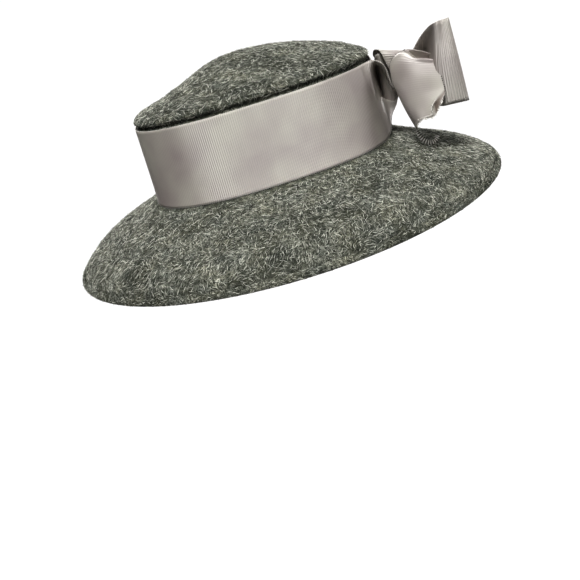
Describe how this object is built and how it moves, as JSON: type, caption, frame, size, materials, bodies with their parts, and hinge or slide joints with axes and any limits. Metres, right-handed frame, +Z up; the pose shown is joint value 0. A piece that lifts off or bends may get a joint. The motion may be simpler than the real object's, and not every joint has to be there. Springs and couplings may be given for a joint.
{
  "type": "halo hat",
  "caption": "Felt hat with a low domed crown, a wide turned-down brim all round, a wide grosgrain ribbon round the crown and a loose ribbon bow at the back left.",
  "frame": {"origin": "middle of the brim's oval, on the plane that the brim's edge rests on", "axes": "+Z up through the crown, the hat faces -Y, and the wearer's left is +X"},
  "size_m": [0.337, 0.363, 0.1366],
  "materials": {
    "felt": "matte, hairy wool felt, flecked grey-green",
    "ribbon": "soft sheen, ribbed grosgrain, warm grey"
  },
  "bodies": {
    "root": {"felt_hat": "felt", "ribbon_band": "ribbon", "bow_knot": "ribbon", "bow_loop_near": "ribbon", "bow_loop_far": "ribbon", "bow_tail": "ribbon", "torn_selvedge": "ribbon"}
  },
  "joints": []
}
